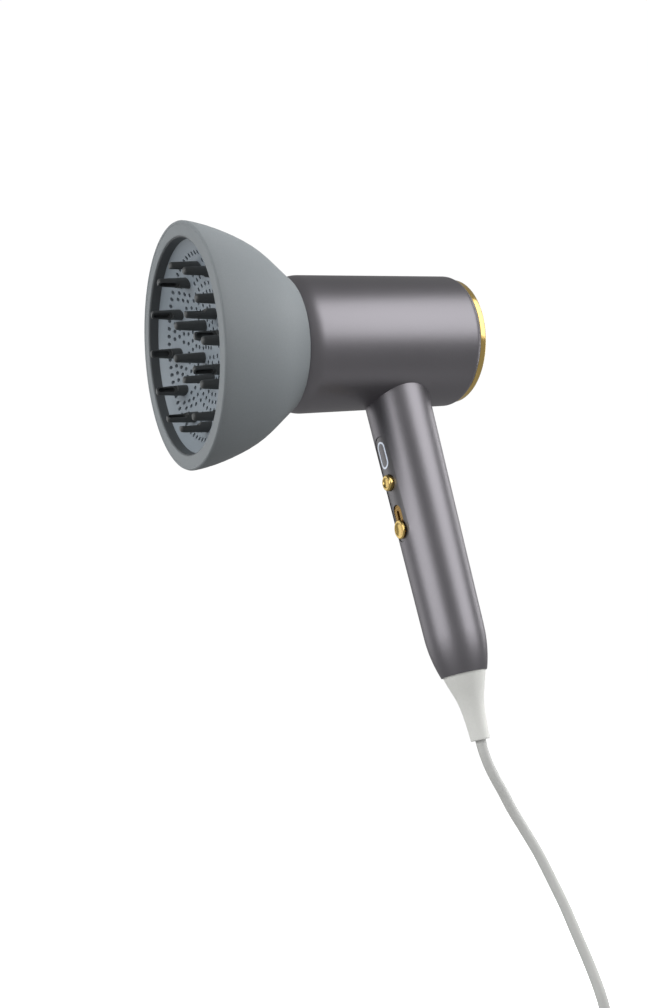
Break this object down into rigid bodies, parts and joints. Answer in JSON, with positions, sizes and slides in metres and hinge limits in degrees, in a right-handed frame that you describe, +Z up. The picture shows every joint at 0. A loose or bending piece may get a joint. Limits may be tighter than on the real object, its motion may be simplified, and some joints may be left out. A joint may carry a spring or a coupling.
{
  "type": "hair dryer",
  "caption": "Handheld hair dryer with a round barrel, an upright handle with slider and buttons, a removable finger diffuser, a pull-off inlet cap and a coiled mains cord.",
  "frame": {"origin": "middle of the hand grip, on the handle's axis", "axes": "+Z up along the handle towards the barrel, +X along the barrel from the outlet towards the air inlet, +Y the far side when the outlet points left"},
  "size_m": [0.1864, 0.1402, 0.5181],
  "materials": {
    "gunmetal": "satin metallic",
    "panel": "satin metallic",
    "diffuser_plastic": "matte blue-grey",
    "liner_plastic": "satin dark grey",
    "plate_plastic": "satin light blue-grey",
    "finger_plastic": "matte dark grey",
    "gold": "polished",
    "track_gold": "satin",
    "black_plastic": "matte",
    "steel": "brushed",
    "aluminium": "satin",
    "copper": "satin",
    "mica": "matte mica board",
    "rubber": "matte",
    "relief_rubber": "smooth warm grey",
    "cord": "smooth light grey",
    "lead_red": "gloss",
    "lead_blue": "gloss",
    "light": "translucent white light guide",
    "board": "solder mask",
    "tie": "woven hook-and-loop strap",
    "plug": "moulded light grey",
    "pin": "plated"
  },
  "bodies": {
    "dryer": {"barrel_shell": "gunmetal", "nose_collar": "black_plastic", "front_magnet": "steel", "outlet_grille": "black_plastic", "air_duct": "mica", "heater_boards": "mica", "heater_coils": "copper", "thermal_cutout": "steel", "ion_module": "black_plastic", "motor_housing": "aluminium", "motor_mounts": "rubber", "motor_windings": "copper", "bearings": "steel", "handle_shell": "gunmetal", "control_panel": "panel", "led_ring": "light", "button_springs": "steel", "slider_track": "track_gold", "switch_block": "black_plastic", "control_board": "board", "power_board": "board", "chassis": "black_plastic", "chassis_screws": "steel", "motor_leads": "lead_red", "mains_leads": "lead_blue", "cord_clamp": "black_plastic", "clamp_screws": "steel", "strain_relief": "relief_rubber", "power_cord": "cord", "cord_coil": "cord", "cord_tie": "tie", "cord_tail": "cord", "plug_relief": "plug", "plug_body": "plug", "plug_pins": "pin"},
    "rotor": {"rotor_shaft": "steel", "impeller": "black_plastic", "rotor_magnet": "steel"},
    "mode_key": {"mode_button": "panel"},
    "cool_key": {"cool_button": "gold"},
    "speed_slider": {"slider_knob": "gold", "slider_strip": "track_gold"},
    "rear_cap": {"rear_ring": "gold", "rear_grille": "black_plastic", "filter_mesh": "steel", "cap_magnets": "steel"},
    "coupling": {"coupling_ring": "steel", "coupling_magnets": "steel"},
    "diffuser": {"diffuser_bowl": "diffuser_plastic", "mouth_liner": "liner_plastic", "diffuser_collar": "black_plastic", "diffuser_plate": "plate_plastic", "outer_fingers": "finger_plastic", "inner_fingers": "finger_plastic"}
  },
  "joints": [
    {"name": "rotor_spin", "type": "hinge", "parent": "dryer", "child": "rotor", "pos_m": [0, 0, 0.13], "axis": [1, 0, 0], "continuous": true},
    {"name": "mode_press", "type": "slide", "parent": "dryer", "child": "mode_key", "axis": [1, 0, 0], "range_m": [0, 0.0008], "stiffness_N_per_m": 800, "springref_m": -0.0006},
    {"name": "cool_press", "type": "slide", "parent": "dryer", "child": "cool_key", "axis": [1, 0, 0], "range_m": [0, 0.0014], "stiffness_N_per_m": 600, "springref_m": -0.001},
    {"name": "speed_slide", "type": "slide", "parent": "dryer", "child": "speed_slider", "axis": [0, 0, 1], "range_m": [0, 0.009]},
    {"name": "cap_pull", "type": "slide", "parent": "dryer", "child": "rear_cap", "axis": [1, 0, 0], "range_m": [0, 0.014]},
    {"name": "diffuser_pull", "type": "slide", "parent": "dryer", "child": "coupling", "axis": [-1, 0, 0], "range_m": [0, 0.016]},
    {"name": "diffuser_turn", "type": "hinge", "parent": "coupling", "child": "diffuser", "pos_m": [-0.076, 0, 0.13], "axis": [1, 0, 0], "continuous": true}
  ]
}
